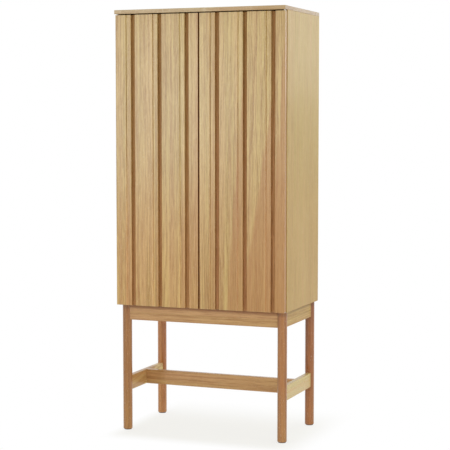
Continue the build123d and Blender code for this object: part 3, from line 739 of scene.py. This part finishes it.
def separate_solids(mesh):
    """The points of each separate solid in a mesh."""
    shape = bmesh.new()
    shape.from_mesh(mesh)
    bmesh.ops.remove_doubles(shape, verts=shape.verts, dist=1e-6)
    shape.verts.index_update()
    seen, solids = set(), []
    for start in shape.verts:
        if start.index in seen:
            continue
        seen.add(start.index)
        points, waiting = [], [start]
        while waiting:
            point = waiting.pop()
            points.append(point.co.copy())
            for edge in point.link_edges:
                other = edge.other_vert(point)
                if other.index not in seen:
                    seen.add(other.index)
                    waiting.append(other)
        solids.append(points)
    shape.free()
    return solids


def lie_of_fastener(points):
    """A fastener's place, from its head with z into the wood, its length, and its head's and shank's radius."""
    low = Vector(min(levels) for levels in zip(*points))
    high = Vector(max(levels) for levels in zip(*points))
    middle = (low + high) / 2
    along = max(range(3), key=lambda axis: high[axis] - low[axis])
    ends = []
    for level, toward in ((low[along], 1.0), (high[along], -1.0)):
        near = [point - middle for point in points if abs(point[along] - level) < 1e-5]
        for offset in near:
            offset[along] = 0.0
        ends.append((max(offset.length for offset in near), level, toward))
    (shank, _, _), (head, level, toward) = sorted(ends)
    middle[along] = level
    direction = Vector((0.0, 0.0, 0.0))
    direction[along] = toward
    place = Matrix.Translation(middle) @ direction.to_track_quat("Z", "Y").to_matrix().to_4x4()
    return place, high[along] - low[along], head, shank


def cross_outline(reach):
    """A cross recess's corners, going round."""
    narrow = reach * 0.27
    corners = []
    for quarter in range(4):
        turn = Matrix.Rotation(quarter * math.pi / 2, 2)
        corners += [turn @ Vector((reach, -narrow)), turn @ Vector((reach, narrow)), turn @ Vector((narrow, narrow))]
    return corners


def socket_outline(reach):
    """A hexagon socket's corners, going round."""
    return [Matrix.Rotation(corner * math.pi / 3, 2) @ Vector((reach, 0.0)) for corner in range(6)]


def skin_between(shape, first, second):
    """Faces between two closed rows of as many points each."""
    for step in range(len(first)):
        following = (step + 1) % len(first)
        shape.faces.new((first[step], first[following], second[following], second[step]))


FASTENER_SIDES = 18
ROWS_PER_TURN = 5

# The rim of each kind's head: shares of the head's radius, and metres from its face
SCREW_RIM = ((0.955, 0.0), (0.965, 0.00012))
BOLT_RIM = ((0.92, 0.0), (1.0, 0.0005), (1.0, 0.00399))


def add_fastener(shape, points, sizes, rim, recess_outline):
    """Adds one threaded fastener, with a recess in its head, in the space that a plain CAD one takes."""
    place, length, head, shank = lie_of_fastener(points)

    def row(corners, level):
        return [shape.verts.new(place @ Vector((corner[0], corner[1], level))) for corner in corners]

    def turned_row(level, radius, ridge=0.0):
        corners = []
        for step in range(FASTENER_SIDES):
            share = step / FASTENER_SIDES
            wave = abs((level / sizes.pitch - share) % 1.0 * 2 - 1.0)
            corners.append(Matrix.Rotation(share * math.tau, 2) @ Vector((radius - ridge * wave, 0.0)))
        return row(corners, level)

    rows = [turned_row(level, head * share) for share, level in rim]
    rows.append(turned_row(sizes.head_height, shank))
    first, last = length - sizes.threaded * (length - sizes.head_height), length - sizes.tip
    steps = round((last - first) / sizes.pitch * ROWS_PER_TURN)
    for step in range(steps + 1):
        level = first + (last - first) * step / steps
        cut = min(1.0, (level - first) / sizes.pitch, (last - level) / sizes.pitch)
        rows.append(turned_row(level, shank - (1.0 - cut) * sizes.ridge / 2, cut * sizes.ridge))
    rows.append(turned_row(length, shank * sizes.tip_share))
    for upper, lower in zip(rows, rows[1:]):
        skin_between(shape, upper, lower)
    shape.faces.new(rows[-1])
    mouth = row(recess_outline(head * sizes.reach), 0.0)
    foot = row(recess_outline(head * sizes.reach * sizes.taper), sizes.depth)
    skin_between(shape, mouth, foot)
    shape.faces.new(foot)
    rims = []
    for loop in (rows[0], mouth):
        rims += [shape.edges.get((loop[step - 1], loop[step])) for step in range(len(loop))]
    bmesh.ops.triangle_fill(shape, edges=rims, use_beauty=True)


# The CAD nodes whose plain fasteners get threads and recesses, with the body that each rides on
FASTENERS = {
    "case_hinge_screws": "case",
    "catch_screws": "case",
    "left_door_hinge_screws": "left_door",
    "right_door_hinge_screws": "right_door",
    "left_strike_screw": "left_door",
    "right_strike_screw": "right_door",
    "stand_bolts": "case",
}


class CUPBOARD_OT_screws(bpy.types.Operator):
    """Makes the threaded screws and bolts and dresses the shelf pins"""

    bl_idname = "cupboard.screws"
    bl_label = "Make the screws"

    def execute(self, context):
        fittings = context.scene.fitting_finish
        plated = metal_material("zinc plate", tuple(fittings.screw), (1500.0, 1500.0, 1500.0), 0.36)
        dress("shelf_pins", plated)
        screw = (context.scene.screw_shape, SCREW_RIM, cross_outline)
        bolt = (context.scene.bolt_shape, BOLT_RIM, socket_outline)
        for node, body in FASTENERS.items():
            shape = bmesh.new()
            for points in separate_solids(cad_nodes[node].data):
                add_fastener(shape, points, *(bolt if node == "stand_bolts" else screw))
            bmesh.ops.recalc_face_normals(shape, faces=shape.faces)
            for face in shape.faces:
                face.smooth = True
            mesh = bpy.data.meshes.new(f"{node}_threaded")
            shape.to_mesh(mesh)
            shape.free()
            mesh.set_sharp_from_angle(angle=math.radians(35))
            mesh.materials.append(plated)
            piece = link_new(f"{node}_threaded", mesh)
            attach(piece, body)
            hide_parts(node)
        return {"FINISHED"}


class CUPBOARD_OT_catch(bpy.types.Operator):
    """Dresses the magnetic catch and the strike plates"""

    bl_idname = "cupboard.catch"
    bl_label = "Dress the catch"

    def execute(self, context):
        fittings = context.scene.fitting_finish
        dress("catch_housing", moulded_material("brown moulded catch", tuple(fittings.housing), 0.45))
        dress("catch_magnets", metal_material("ground pole face", tuple(fittings.magnet), (4000.0, 4000.0, 300.0), 0.4))
        strike = metal_material("zinc plate, strike", tuple(fittings.screw), (4000.0, 4000.0, 400.0), 0.34)
        for side in SIDES:
            dress(f"{side}_strike_plate", strike)
        return {"FINISHED"}


class CUPBOARD_OT_pads(bpy.types.Operator):
    """Dresses the glides under the legs and the pads on the doors"""

    bl_idname = "cupboard.pads"
    bl_label = "Dress the pads"

    def execute(self, context):
        fittings = context.scene.fitting_finish
        dress("foot_glides", moulded_material("dark moulded glide", tuple(fittings.glide), 0.5))
        pad = moulded_material("soft clear pad", tuple(fittings.bumper), 0.3)
        for side in SIDES:
            dress(f"{side}_door_bumper", pad)
        return {"FINISHED"}


def link_new(name, data):
    made = bpy.data.objects.new(name, data)
    bpy.context.scene.collection.objects.link(made)
    return made


def softbox(name, place, target, width, height, brightness):
    """A rectangular soft light that faces a point, as bright on its face as the value says."""
    light = bpy.data.lights.new(name, "AREA")
    light.shape = "RECTANGLE"
    light.size = width
    light.size_y = height
    light.energy = brightness * width * height * math.pi
    made = link_new(name, light)
    made.location = place
    made.rotation_euler = (Vector(target) - Vector(place)).to_track_quat("-Z", "Y").to_euler()
    made.visible_camera = False
    return made


def seen_directly(graph):
    """1 where the camera sees a surface, straight or in a reflection, and 0 where it lights another."""
    path = graph.add("ShaderNodeLightPath").outputs
    seen = graph.maths("MAXIMUM", path["Is Camera Ray"], path["Is Glossy Ray"])
    return graph.maths("MAXIMUM", seen, path["Is Transmission Ray"])


def floor_material(colour):
    """The pale floor: seen directly it is nearly white and keeps a faint shadow, and it fades to white far out."""
    material = bpy.data.materials.new("studio floor")
    material.use_nodes = True
    material.node_tree.nodes.clear()
    graph = Graph(material.node_tree)
    place = graph.add("ShaderNodeTexCoord").outputs["Object"]
    cloud = graph.noise(place, (1.5, 1.5, 1.5), 3.0).outputs[0]
    tint = graph.blend(graph.maths("MULTIPLY", cloud, 0.06), colour, (0.8, 0.8, 0.8, 1.0))
    diffuse = graph.add("ShaderNodeBsdfDiffuse", {"Color": tint}).outputs[0]
    white = graph.add("ShaderNodeEmission", {"Color": (1.0, 1.0, 1.0, 1.0), "Strength": 1.0}).outputs[0]
    seen = seen_directly(graph)
    across, deep, _ = graph.split(place)
    under = graph.band(across, -0.40, -0.31)
    for value, outside, inside in ((across, 0.50, 0.34), (deep, -0.36, -0.22), (deep, 0.55, 0.02)):
        under = graph.maths("MULTIPLY", under, graph.band(value, outside, inside))
    share = graph.maths("MULTIPLY_ADD", under, -0.27, 1.0)
    mixed = graph.add("ShaderNodeMixShader", {0: graph.maths("MULTIPLY", seen, share), 1: diffuse, 2: white})
    graph.add("ShaderNodeOutputMaterial", {"Surface": mixed.outputs[0]})
    return material


def studio_world(surround):
    """Even light all round, which the camera and glossy surfaces see as white."""
    world = bpy.data.worlds.new("pale studio")
    world.use_nodes = True
    world.node_tree.nodes.clear()
    graph = Graph(world.node_tree)
    strength = graph.maths("MULTIPLY_ADD", seen_directly(graph), 1.0 - surround, surround)
    light = graph.add("ShaderNodeBackground", {"Color": (1.0, 1.0, 1.0, 1.0), "Strength": strength})
    graph.add("ShaderNodeOutputWorld", {"Surface": light.outputs[0]})
    bpy.context.scene.world = world


class CUPBOARD_OT_stage(bpy.types.Operator):
    """Sets the floor, the lights and the camera"""

    bl_idname = "cupboard.stage"
    bl_label = "Set the studio"

    def execute(self, context):
        studio = context.scene.studio_settings
        mesh = bpy.data.meshes.new("studio_floor")
        shape = bmesh.new()
        bmesh.ops.create_grid(shape, x_segments=8, y_segments=8, size=12.0)
        shape.to_mesh(mesh)
        shape.free()
        floor = link_new("studio_floor", mesh)
        floor.location.z = cad_low.z - 0.0005
        mesh.materials.append(floor_material(tuple(studio.floor)))
        studio_world(studio.surround)
        softbox("front softbox", (-6.24, -14.2, 1.64), (-0.12, -0.2, 1.38), 1.6, 2.6, studio.key)
        softbox("side softbox", (5.0, -2.0, 1.1), (0.2, -0.1, 1.0), 1.5, 2.0, studio.side)
        softbox("back softbox", (2.0, 4.2, 2.2), (0.35, 0.0, 1.6), 2.2, 1.5, studio.back)
        camera = bpy.data.cameras.new("camera")
        camera.lens = studio.lens
        camera.sensor_width = 36.0
        camera.clip_start = 0.1
        camera.clip_end = 60.0
        made = link_new("camera", camera)
        made.location = studio.camera_place
        made.rotation_euler = (math.pi / 2 - studio.camera_dip, 0.0, studio.camera_turn)
        context.scene.camera = made
        context.scene.view_settings.view_transform = "Standard"
        return {"FINISHED"}


PIECES = (
    CUPBOARD_OT_case,
    CUPBOARD_OT_doors,
    CUPBOARD_OT_stand,
    CUPBOARD_OT_hinges,
    CUPBOARD_OT_screws,
    CUPBOARD_OT_catch,
    CUPBOARD_OT_pads,
    CUPBOARD_OT_stage,
)


class CUPBOARD_PT_panel(bpy.types.Panel):
    """Lists the steps that dress the cupboard"""

    bl_idname = "CUPBOARD_PT_panel"
    bl_label = "Tall cupboard"
    bl_space_type = "VIEW_3D"
    bl_region_type = "UI"
    bl_category = "Cupboard"

    def draw(self, context):
        for piece in PIECES:
            self.layout.operator(piece.bl_idname)
        for group in SETTINGS:
            settings = getattr(context.scene, group)
            box = self.layout.box()
            for name in settings.__annotations__:
                box.prop(settings, name)


SETTINGS = {
    "oak_finish": OakFinish,
    "fitting_finish": FittingFinish,
    "screw_shape": ScrewShape,
    "bolt_shape": BoltShape,
    "studio_settings": StudioSettings,
}
CLASSES = (*SETTINGS.values(), *PIECES, CUPBOARD_PT_panel)


def register():
    for item in CLASSES:
        bpy.utils.register_class(item)
    for group, settings in SETTINGS.items():
        setattr(bpy.types.Scene, group, PointerProperty(type=settings))


def unregister():
    for group in SETTINGS:
        delattr(bpy.types.Scene, group)
    for item in reversed(CLASSES):
        bpy.utils.unregister_class(item)


def main():
    register()
    bpy.ops.cupboard.case()
    bpy.ops.cupboard.doors()
    bpy.ops.cupboard.stand()
    bpy.ops.cupboard.hinges()
    bpy.ops.cupboard.screws()
    bpy.ops.cupboard.catch()
    bpy.ops.cupboard.pads()
    bpy.ops.cupboard.stage()


if __name__ == "__main__":
    main()
